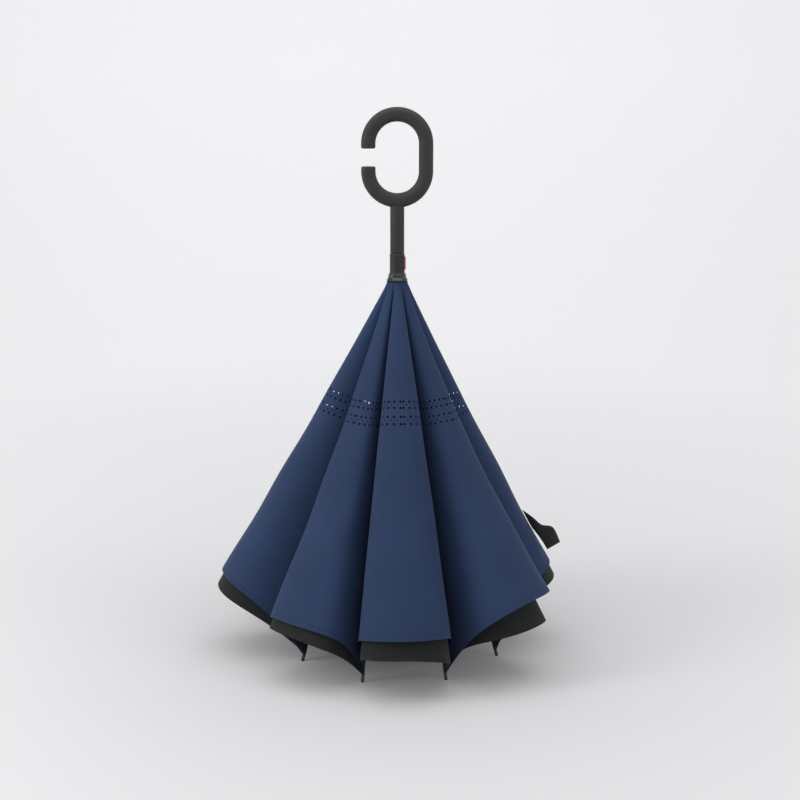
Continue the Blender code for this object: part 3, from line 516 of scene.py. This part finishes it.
def open_crown(panel, along, across):
    """A crown panel's points when open: drawn from strut to strut, with its outer edge bowed out
    and lowered to just under the blue ridge."""
    share = along[:, None] / along[-1]
    one = moved(opened(f"strut_{panel}"), strut_seam(panel, along, BLUE_BESIDE))
    other = moved(opened(f"crown_{panel}"), strut_seam(panel + 1, along, -BLUE_BESIDE))
    flat = one[:, None] + (other - one)[:, None] * across[None, :, None]
    bow = CROWN_BOW * share**2 * (1 - (2 * across - 1) ** 2)
    flat += bow[..., None] * outward_at(rib_azimuth(panel + 0.5))
    down = np.linspace(BLUE_TOP, SEAM_HEM / 2, CROWN_LOOKS)
    ridge = moved(opened(f"ridge_{panel}"), lobe(panel, 0, down, np.ones(CROWN_LOOKS)))
    middle = flat[-1, len(across) // 2]
    reach = np.hypot(*(ridge[:, :2] - [AXIS_X, 0]).T)
    blue = np.interp(math.hypot(middle[0] - AXIS_X, middle[1]), reach, ridge[:, 2])
    drop = middle[2] - (blue - CROWN_UNDER_BLUE)
    flat[..., 2] -= drop * share**2 * (1 - np.abs(2 * across - 1)) ** 1.5
    return flat


def make_crown(panel, material):
    """The black cloth from the notch to the elbows, which at rest is the open one folded back."""
    along = np.linspace(CROWN_START, STRUT_LENGTH - CROWN_SHORT, CROWN_ROWS)
    across = np.linspace(0, 1, CROWN_COLUMNS)
    share = along[:, None] / along[-1]
    flat = open_crown(panel, along, across)
    back = np.linalg.inv(opened(f"strut_{panel}"))
    fold = f"crown_{panel}_fold"
    turns = -across * RATIOS[fold] * TRAVEL
    columns = [moved(turn_matrix(fold, t) @ back, flat[:, j]) for j, t in enumerate(turns)]
    points = np.stack(columns, axis=1)
    wide = float(np.linalg.norm(points[-1, 1:] - points[-1, :-1], axis=1).sum())
    x, y = share * (across - 0.5) * wide, np.repeat(along[:, None], CROWN_COLUMNS, 1)
    to_seam = share * np.minimum(across, 1 - across) * wide
    edges = np.stack([np.full(to_seam.shape, NO_HEM), to_seam], axis=-1)
    weights = np.repeat(across[None], CROWN_ROWS, 0)
    obj = make_cloth(
        f"black_crown_cloth_{panel}", (points, np.stack([x, y], axis=-1), edges, weights), material,
        f"black_crown_panel_{panel}",
        flip=True,
    )


def collar_strip(panel, half, down, z):
    """Half a panel's stretch of the collar, from its rib to its ridge."""
    a, b = section(np.linspace(0, 1, COLLAR_STEPS + 1), panel, half)
    slope = math.radians(RIDGE_DEGREES[panel - 1] - RIDGE_FLARE_DEGREES[panel - 1])
    seam = PIVOT_RADIUS + down * math.sin(RIB_ANGLE) + OUTWARD
    ridge = PANEL_APEX + down * math.sin(slope) + OUTWARD
    radius = seam[:, None] + (ridge - seam)[:, None] * b + COLLAR_CLEAR
    radius = np.clip(radius, COLLAR_INSIDE, COLLAR_WIDEST)
    azimuth = rib_azimuth(panel + half) + (1 if half == 0 else -1) * a * STEP / 2
    return polar(radius, azimuth[None], z[:, None])


def make_collar(rib, material):
    """One of the collar's gathers, from the ridge before its rib to the ridge after it."""
    z = COLLAR_TOP - COLLAR_HEIGHT * np.linspace(0, 1, len(COLLAR_LIFT_shares))
    down = (RIB_PIVOT_Z - z) / math.cos(RIB_ANGLE)
    before = (rib - 2) % COUNT + 1
    left = collar_strip(before, 1, down, z)[:, ::-1]
    points = np.concatenate([left[:, :-1], collar_strip(rib, 0, down, z)], axis=1)
    columns = points.shape[1]
    length = 2 * math.pi * COLLAR_FLAT_RADIUS / COUNT
    flats = np.stack(np.broadcast_arrays(np.linspace(0, length, columns)[None], z[:, None]), -1)
    weights = np.repeat(np.array(COLLAR_LIFT_shares)[:, None], columns, 1)
    obj = make_cloth(
        f"collar_cloth_{rib}", (points, flats, np.full(flats.shape, NO_HEM), weights), material,
        "canopy_collar",
        flip=False,
    )


def spline(points, count):
    """Points along a smooth curve through the given ones."""
    points = np.array(points)
    ends = np.concatenate([[2 * points[0] - points[1]], points, [2 * points[-1] - points[-2]]])
    out = []
    for t in np.linspace(0, len(points) - 1, count):
        i = min(int(t), len(points) - 2)
        u = t - i
        p0, p1, p2, p3 = ends[i : i + 4]
        square = (2 * p0 - 5 * p1 + 4 * p2 - p3) * u**2
        cube = (3 * p1 - p0 - 3 * p2 + p3) * u**3
        out.append(0.5 * (2 * p1 + (p2 - p0) * u + square + cube))
    return np.array(out)


def strap_edge(down, shares):
    """Points along one edge of the strap, from its seat on the ridge."""
    azimuth = rib_azimuth(STRAP_PANEL + 0.5)
    k = STRAP_PANEL - 1
    ridge = math.radians(RIDGE_DEGREES[k] - RIDGE_FLARE_DEGREES[k] * (1 - down / RIB_LENGTH))
    root = lobe(STRAP_PANEL, 0, np.array([down]), np.array([1.0]))[0]
    root = root + STRAP_SEAT / math.cos(ridge) * outward_at(azimuth)
    out, around, drop = (np.array(share, float)[:, None] * STRAP_REACH for share in zip(*shares))
    root = root - drop * np.array([0, 0, 1])
    return root + out * outward_at(azimuth) + around * around_at(azimuth)


def make_strap(material):
    """The tie strap, a webbing band that hangs from the ridge of its panel."""
    upper = spline(strap_edge(STRAP_DOWN, STRAP_UPPER_shares), STRAP_STEPS)
    lower = spline(strap_edge(STRAP_DOWN + STRAP_ROOT, STRAP_LOWER_shares), STRAP_STEPS)
    across = np.linspace(0, 1, STRAP_COLUMNS)
    points = upper[:, None] + (lower - upper)[:, None] * across[None, :, None]
    side = np.cross(points[-1, -1] - points[0, 0], points[-1, 0] - points[0, -1])
    side /= np.linalg.norm(side)
    curl = np.sin(math.pi * across)[None, :] * np.linspace(0, 1, STRAP_STEPS)[:, None]
    points = points + STRAP_CURL * curl[..., None] * side
    steps = np.linalg.norm(np.diff(points[:, STRAP_COLUMNS // 2], axis=0), axis=1)
    run = np.concatenate([[0], np.cumsum(steps)])
    wide = float(np.mean(np.linalg.norm(points[:, -1] - points[:, 0], axis=1)))
    x, y = np.meshgrid(across * wide, run)
    to_side = wide * np.repeat(np.minimum(across, 1 - across)[None], STRAP_STEPS, 0)
    flats, edges = np.stack([x, y], axis=-1), np.stack([run[-1] - y, to_side], axis=-1)
    mesh, _ = cloth_mesh("tie_strap_cloth", points, flats, edges, np.zeros(x.shape), flip=False)
    obj = link("tie_strap_cloth", mesh)
    mesh.materials.append(material)
    thick = obj.modifiers.new("thickness", "SOLIDIFY")
    thick.thickness = STRAP_THICKNESS
    thick.offset = 0
    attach(obj, f"ridge_{STRAP_PANEL}")
    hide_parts("tie_strap")


def handle_section(inset):
    """One section of the handle, drawn in by inset, as (outward, sideways) pairs."""
    t = np.linspace(0, 2 * math.pi, HANDLE_SIDES, endpoint=False)
    c, s = np.cos(t), np.sin(t)
    power = 2 / HANDLE_SQUARENESS
    out = np.sign(c) * np.abs(c) ** power * (HANDLE_WIDTH / 2 - inset)
    side = np.sign(s) * np.abs(s) ** power * (HANDLE_DEPTH / 2 - inset)
    return np.stack([out, side], axis=-1)


def handle_loops(top):
    """The sections of the C from its upper mouth end to its lower one."""
    middle = top - HANDLE_WIDTH / 2 - HANDLE_BEND - HANDLE_STRAIGHT / 2
    quarter = np.linspace(0, math.pi / 2, EDGE_STEPS + 1)
    rounding = [(1 - math.sin(t), 1 - math.cos(t)) for t in quarter]
    path = []
    for inset, back in rounding:
        z = middle + HANDLE_MOUTH / 2 + back * HANDLE_EDGE
        path.append((-HANDLE_BEND, z, (-1, 0), inset * HANDLE_EDGE))
    for side in (1, -1):
        centre = middle + side * HANDLE_STRAIGHT / 2
        for t in np.linspace(0, math.pi, BEND_STEPS + 1):
            out = (-side * math.cos(t), side * math.sin(t))
            path.append((out[0] * HANDLE_BEND, centre + out[1] * HANDLE_BEND, out, 0))
    for inset, back in reversed(rounding):
        z = middle - HANDLE_MOUTH / 2 - back * HANDLE_EDGE
        path.append((-HANDLE_BEND, z, (-1, 0), inset * HANDLE_EDGE))
    loops = []
    for x, z, out, inset in path:
        a, b = handle_section(inset).T
        loops.append(np.stack([AXIS_X + x + out[0] * a, b, z + out[1] * a], axis=-1))
    return loops


def stem_loops(foot, top):
    """The stem's sections: down its bore, then round its foot and up its outside."""
    profile = [(STEM_BORE, foot + STEM_SOCKET), (STEM_BORE, foot)]
    for t in np.linspace(0, math.pi / 2, STEM_EDGE_STEPS + 1):
        radius = STEM_RADIUS - STEM_EDGE * (1 - math.sin(t))
        profile.append((radius, foot + STEM_EDGE * (1 - math.cos(t))))
    profile.append((STEM_RADIUS, top))
    turn = np.linspace(0, 2 * math.pi, HANDLE_SIDES, endpoint=False)
    return [polar(radius, turn, z) for radius, z in profile]


def make_handle(material):
    """The C and its stem, one moulding."""
    node = frame["nodes"]["handle_hook"]
    heights = [(node.matrix_world @ v.co).z for v in node.data.vertices]
    foot, top = min(heights), max(heights)
    bend_foot = top - 2 * HANDLE_BEND - HANDLE_STRAIGHT - HANDLE_WIDTH
    bm = bmesh.new()
    for loops in (handle_loops(top), stem_loops(foot, bend_foot + HANDLE_WIDTH / 2)):
        rings = [[bm.verts.new(point) for point in loop] for loop in loops]
        for one, two in zip(rings, rings[1:]):
            for i in range(HANDLE_SIDES):
                bm.faces.new((one[i - 1], one[i], two[i], two[i - 1])).smooth = True
        bm.faces.new(rings[0])
        bm.faces.new(rings[-1])
    bmesh.ops.recalc_face_normals(bm, faces=bm.faces)
    mesh = bpy.data.meshes.new("handle_moulding")
    bm.to_mesh(mesh)
    bm.free()
    mesh.set_sharp_from_angle(angle=HANDLE_SHARP)
    obj = link("handle_moulding", mesh)
    mesh.materials.append(material)
    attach(obj, "root")
    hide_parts("handle_hook")


def srgb(*levels):
    shares = [level / 255 for level in levels]
    return [s / 12.92 if s <= 0.04045 else ((s + 0.055) / 1.055) ** 2.4 for s in shares] + [1]


def tones(levels, down, up):
    return [c * down for c in levels], [min(255, c * up) for c in levels]


class Finish:
    """A material and short ways to add nodes to it."""

    def __init__(self, name, roughness, metallic=0.0):
        self.material = bpy.data.materials.new(name)
        self.material.use_nodes = True
        self.tree = self.material.node_tree
        self.shader = self.tree.nodes["Principled BSDF"]
        self.shader.inputs["Roughness"].default_value = roughness
        self.shader.inputs["Metallic"].default_value = metallic

    def put(self, value, socket):
        if isinstance(value, bpy.types.NodeSocket):
            self.tree.links.new(value, socket)
        else:
            socket.default_value = value

    def node(self, kind, *values, **settings):
        made = self.tree.nodes.new("ShaderNode" + kind)
        for key, value in settings.items():
            setattr(made, key, value)
        for value, socket in zip(values, made.inputs):
            self.put(value, socket)
        return made

    def math(self, operation, *values):
        return self.node("Math", *values, operation=operation).outputs[0]

    def times(self, a, b):
        return self.math("MULTIPLY", a, b)

    def plus(self, a, b):
        return self.math("ADD", a, b)

    def wave(self, value, pitch):
        return self.math("SINE", self.times(value, 2 * math.pi / pitch))

    def dashed(self, distance, place, width, along, pitch, cut):
        """1 on the stitches of the line where distance is place, and 1 on the whole line."""
        line = self.math("COMPARE", distance, place, width)
        return self.times(line, self.math("GREATER_THAN", self.wave(along, pitch), cut)), line

    def noise(self, vector, scale=1.0, detail=3.0):
        made = self.tree.nodes.new("ShaderNodeTexNoise")
        self.put(vector, made.inputs["Vector"])
        made.inputs["Scale"].default_value = scale
        made.inputs["Detail"].default_value = detail
        return made.outputs[0]

    def stretch(self, vector, *scales):
        return self.node("VectorMath", vector, scales, operation="MULTIPLY").outputs[0]

    def levels(self, factor, dark, light, low=0.3, high=0.7):
        ramp = self.tree.nodes.new("ShaderNodeValToRGB")
        for end, place, colour in zip(ramp.color_ramp.elements, (low, high), (dark, light)):
            end.position = place
            end.color = srgb(*colour)
        self.put(factor, ramp.inputs[0])
        return ramp.outputs[0]

    def mix(self, factor, a, b):
        made = self.tree.nodes.new("ShaderNodeMix")
        made.data_type = "RGBA"
        self.put(factor, made.inputs[0])
        self.put(a, made.inputs[6])
        self.put(b, made.inputs[7])
        return made.outputs[2]

    def bump(self, height, strength=1.0):
        made = self.tree.nodes.new("ShaderNodeBump")
        made.inputs["Strength"].default_value = strength
        made.inputs["Distance"].default_value = 1.0
        self.put(height, made.inputs["Height"])
        self.put(made.outputs[0], self.shader.inputs["Normal"])

    def uv(self, name):
        """A UV map, and its two coordinates."""
        vector = self.node("UVMap", uv_map=name).outputs[0]
        return vector, *self.node("SeparateXYZ", vector).outputs[:2]

    def place(self):
        return self.tree.nodes.new("ShaderNodeTexCoord").outputs["Object"]

    def set(self, **values):
        for key, value in values.items():
            self.put(value, self.shader.inputs[key.replace("_", " ")])
        return self.material


def cloth_finish(name, levels, thread, stitched=True):
    """Plain woven cloth: threads, slow unevenness, a stitched hem, puckers at the seams and painted
    shade along them.
    """
    f = Finish(name, 0.78)
    flat, x, y = f.uv("flat")
    edges, to_hem, to_seam = f.uv("edges")
    clouds = f.noise(flat, scale=9.0, detail=4.0)
    streaks = f.noise(f.stretch(flat, 420.0, 9.0, 1.0), detail=2.0)
    slubs = f.noise(f.stretch(flat, 12.0, 700.0, 1.0), detail=2.0)
    uneven = f.plus(f.times(clouds, 0.6), f.times(f.plus(streaks, slubs), 0.2))
    dark, light = tones(levels, 0.93, 1.07)
    colour = f.levels(uneven, dark, light, low=0.35, high=0.65)
    threads = f.times(f.wave(x, WEAVE), f.wave(y, WEAVE))
    puckers = f.noise(f.stretch(edges, 60.0, 160.0, 1.0), detail=2.0)
    near = f.times(f.math("LESS_THAN", to_seam, PUCKER_REACH), PUCKER_HEIGHT)
    creases = f.times(f.noise(flat, scale=26.0), CREASE_HEIGHT)
    height = f.plus(f.times(threads, THREAD_HEIGHT), creases)
    height = f.plus(height, f.times(puckers, near))
    if stitched:
        turned = f.math("LESS_THAN", to_hem, HEM_WIDTH)
        stitch, line = f.dashed(to_hem, STITCH_PLACE, STITCH_WIDTH, x, STITCH_PITCH, cut=-0.35)
        colour = f.mix(stitch, colour, srgb(*thread))
        colour = f.mix(f.times(turned, 0.12), colour, srgb(*dark))
        height = f.plus(height, f.times(turned, HEM_HEIGHT))
        height = f.math("SUBTRACT", height, f.times(line, STITCH_DEPTH))
    # Painted shade: the cloth is darkened along its seams, as if in the shade of a groove.
    seam = f.times(f.math("LESS_THAN", to_seam, SEAM_SHADE_WIDTH), 0.35)
    colour = f.mix(seam, colour, srgb(*tones(levels, 0.5, 1)[0]))
    f.bump(height, 0.55)
    rough = f.plus(0.7, f.times(clouds, 0.14))
    return f.set(Base_Color=colour, Roughness=rough, Specular_IOR_Level=0.2, Sheen_Weight=0.04)


def webbing_finish():
    """Black twill webbing with a stitched border."""
    f = Finish("webbing", 0.85)
    flat, x, y = f.uv("flat")
    _, to_end, to_side = f.uv("edges")
    slant = f.plus(x, y)
    twill = f.times(f.wave(slant, TWILL_PITCH), TWILL_HEIGHT)
    height = f.plus(twill, f.times(f.wave(x, RIB_PITCH), RIB_HEIGHT))
    border = f.math("MINIMUM", to_end, to_side)
    stitch, _ = f.dashed(border, BORDER_PLACE, BORDER_WIDTH, slant, BORDER_PITCH, cut=-0.3)
    colour = f.levels(f.noise(flat, scale=60.0, detail=4.0), WEBBING_DARK, WEBBING_LIGHT)
    colour = f.mix(stitch, colour, srgb(*WEBBING_THREAD))
    f.bump(height, 0.8)
    return f.set(Base_Color=colour, Sheen_Weight=0.2)


def moulded_finish(name, levels, roughness, grain=0.00003, coat=0.0):
    """Moulded plastic with a fine grain, faint flow marks and light scuffs."""
    f = Finish(name, roughness)
    place = f.place()
    dark, light = tones(levels, 0.9, 1.12)
    colour = f.levels(f.noise(place, scale=55.0, detail=5.0), dark, light)
    streaks = f.noise(f.stretch(place, 900.0, 900.0, 60.0), detail=2.0)
    scuffs = f.times(f.math("GREATER_THAN", streaks, 0.72), 0.18)
    colour = f.mix(scuffs, colour, srgb(*tones(levels, 1, 1.7)[1]))
    f.bump(f.times(f.noise(place, scale=2600.0, detail=2.0), grain))
    rough = f.plus(roughness - 0.06, f.times(f.noise(place, scale=30.0), 0.12))
    return f.set(Base_Color=colour, Roughness=rough, Coat_Weight=coat, Coat_Roughness=0.08)


def metal_finish(name, levels, roughness, along, metallic=1.0):
    """Drawn or lacquered metal with fine marks along it."""
    f = Finish(name, roughness, metallic)
    place = f.place()
    marks = f.noise(f.stretch(place, *along))
    dark, light = tones(levels, 0.85, 1.12)
    colour = f.levels(marks, dark, light)
    spots = f.math("GREATER_THAN", f.noise(place, scale=420.0, detail=2.0), 0.7)
    colour = f.mix(f.times(spots, 0.2), colour, srgb(*tones(levels, 0.6, 1)[0]))
    f.bump(f.times(marks, 0.00002))
    rough = f.plus(roughness - 0.08, f.times(marks, 0.16))
    return f.set(Base_Color=colour, Roughness=rough)


def paint(nodes, material):
    for name in nodes:
        materials = frame["nodes"][name].data.materials
        materials.clear()
        materials.append(material)


def numbered(name):
    return [f"{name}_{n}" for n in range(1, COUNT + 1)]


def finish_nodes():
    """Materials for the CAD nodes that show as they are."""
    rod = (700.0, 700.0, 18.0)
    paint(["runner_sleeve"], moulded_finish("runner_plastic", (24, 25, 26), 0.42))
    paint(["notch_hub"], moulded_finish("notch_plastic", (33, 33, 35), 0.45))
    ring = moulded_finish("ring_gloss", (12, 12, 13), 0.14, grain=0.000004, coat=0.35)
    paint(["runner_crown_ring"], ring)
    paint(["notch_cap"], moulded_finish("cap_gloss", (22, 22, 24), 0.3, grain=0.00001))
    button = moulded_finish("button_plastic", (150, 26, 46), 0.3, grain=0.00001, coat=0.3)
    paint(["push_button"], button)
    tube = metal_finish("shaft_lacquer", (62, 63, 66), 0.3, (900.0, 900.0, 20.0), metallic=0.85)
    paint(["shaft_tube"], tube)
    wire = metal_finish("drawn_wire", (168, 168, 170), 0.3, (500.0, 500.0, 500.0))
    paint(["runner_wire", "notch_wire"], wire)
    spring = metal_finish("spring_steel", (140, 142, 148), 0.28, (800.0, 60.0, 800.0))
    paint(["button_spring"], spring)
    paint(numbered("rib"), metal_finish("rib_lacquer", (32, 32, 34), 0.34, rod, metallic=0.6))
    paint(numbered("strut"), metal_finish("strut_lacquer", (30, 30, 32), 0.36, rod, metallic=0.6))
    tip = metal_finish("tip_nickel", (70, 71, 74), 0.3, (600.0, 600.0, 90.0), metallic=0.8)
    paint(numbered("rib_tip"), tip)


def make_camera():
    data = bpy.data.cameras.new("camera")
    data.lens = CAMERA_LENS
    data.sensor_width = SENSOR_WIDTH
    camera = link("camera", data)
    camera.location = CAMERA_PLACE
    camera.rotation_euler = (math.pi / 2 - CAMERA_DOWN, 0, 0)
    bpy.context.scene.camera = camera


def seen_rays(tree):
    """1 or more on the rays by which the camera sees a surface, also in gloss and glass, else 0."""
    rays = tree.nodes.new("ShaderNodeLightPath")
    seen = rays.outputs["Is Camera Ray"]
    for name in ("Is Glossy Ray", "Is Transmission Ray"):
        total = tree.nodes.new("ShaderNodeMath")
        tree.links.new(seen, total.inputs[0])
        tree.links.new(rays.outputs[name], total.inputs[1])
        seen = total.outputs[0]
    return seen


def backdrop_finish():
    """Matt paper with painted light: to the camera it glows more the farther it lies from the
    umbrella, standing in for the lamps' light as it fades.
    """
    f = Finish("paper", 0.95)
    place = f.place()
    height = f.node("SeparateXYZ", place).outputs[2]
    painted_light_rise = f.node("MapRange", height, 0.0, PAINTED_LIGHT_HEIGHT).outputs[0]
    distance = f.node("VectorMath", place, operation="LENGTH").outputs["Value"]
    away = f.node("MapRange", distance, PAINTED_LIGHT_START, PAINTED_LIGHT_END).outputs[0]
    # Painted light: the one sheet of paper is painted lighter up its wall than on its floor.
    colour = f.mix(painted_light_rise, srgb(*FLOOR), srgb(*WALL_PAINTED_LIGHTER))
    colour = f.mix(f.times(f.noise(place, scale=3.0, detail=2.0), 0.05), colour, srgb(*MOTTLE))
    f.bump(f.times(f.noise(place, scale=500.0, detail=2.0), 0.00002))
    seen = f.math("MINIMUM", seen_rays(f.tree), 1.0)
    # Painted light: an emission seen only by camera and glossy rays, growing with the distance from
    # the umbrella.
    painted_light = f.times(seen, f.times(f.math("SQRT", away), PAPER_PAINTED_LIGHT))
    return f.set(Base_Color=colour, Emission_Color=srgb(*PAINTED_LIGHT_COLOUR), Emission_Strength=painted_light)


def make_stage():
    """A sheet of paper that runs from the floor up behind the umbrella."""
    profile = [(-STAGE_HALF, 0.0), (COVE_START, 0.0)]
    for t in np.linspace(0, math.pi / 2, COVE_STEPS + 1)[1:]:
        profile.append((COVE_START + COVE_RADIUS * math.sin(t), COVE_RADIUS * (1 - math.cos(t))))
    profile.append((COVE_START + COVE_RADIUS, WALL_TOP))
    verts = [(x, y, z) for y, z in profile for x in (-STAGE_HALF, STAGE_HALF)]
    faces = [(2 * i, 2 * i + 1, 2 * i + 3, 2 * i + 2) for i in range(len(profile) - 1)]
    mesh = bpy.data.meshes.new("backdrop")
    mesh.from_pydata(verts, [], faces)
    mesh.shade_smooth()
    mesh.materials.append(backdrop_finish())
    link("backdrop", mesh)


def make_light(name, place, aim, width, height, watts):
    data = bpy.data.lights.new(name, "AREA")
    data.shape = "RECTANGLE"
    data.size, data.size_y = width, height
    data.energy = watts
    light = link(name, data)
    light.location = place
    light.rotation_euler = (Vector(aim) - Vector(place)).to_track_quat("-Z", "Y").to_euler()


def make_world():
    """Dim light from all round, and a pale sky where the camera sees past the paper."""
    world = bpy.data.worlds.new("world")
    bpy.context.scene.world = world
    world.use_nodes = True
    tree = world.node_tree
    ambient = tree.nodes["Background"]
    ambient.inputs["Color"].default_value = AMBIENT_COLOUR
    ambient.inputs["Strength"].default_value = AMBIENT
    pale = tree.nodes.new("ShaderNodeBackground")
    pale.inputs["Color"].default_value = srgb(*SKY)
    pale.inputs["Strength"].default_value = 1.0
    mix = tree.nodes.new("ShaderNodeMixShader")
    tree.links.new(seen_rays(tree), mix.inputs[0])
    tree.links.new(ambient.outputs[0], mix.inputs[1])
    tree.links.new(pale.outputs[0], mix.inputs[2])
    tree.links.new(mix.outputs[0], tree.nodes["World Output"].inputs["Surface"])


def main():
    make_camera()
    make_stage()
    make_world()
    for lamp in LAMPS:
        make_light(*lamp)
    blue = cloth_finish("navy_pongee", NAVY, NAVY_THREAD)
    black = cloth_finish("black_pongee", BLACK, BLACK_THREAD)
    plain = cloth_finish("navy_gathers", COLLAR_NAVY, COLLAR_THREAD, stitched=False)
    crown = cloth_finish("black_crown_pongee", CROWN_BLACK, BLACK_THREAD, stitched=False)
    for panel in range(1, COUNT + 1):
        for half in (0, 1):
            make_half(panel, half, False, blue)
            make_half(panel, half, True, black)
        make_crown(panel, crown)
        make_collar(panel, plain)
    make_strap(webbing_finish())
    make_handle(moulded_finish("soft_touch_coat", SOFT_TOUCH, 0.6))
    finish_nodes()
    bpy.context.scene.view_settings.view_transform = "Standard"


main()
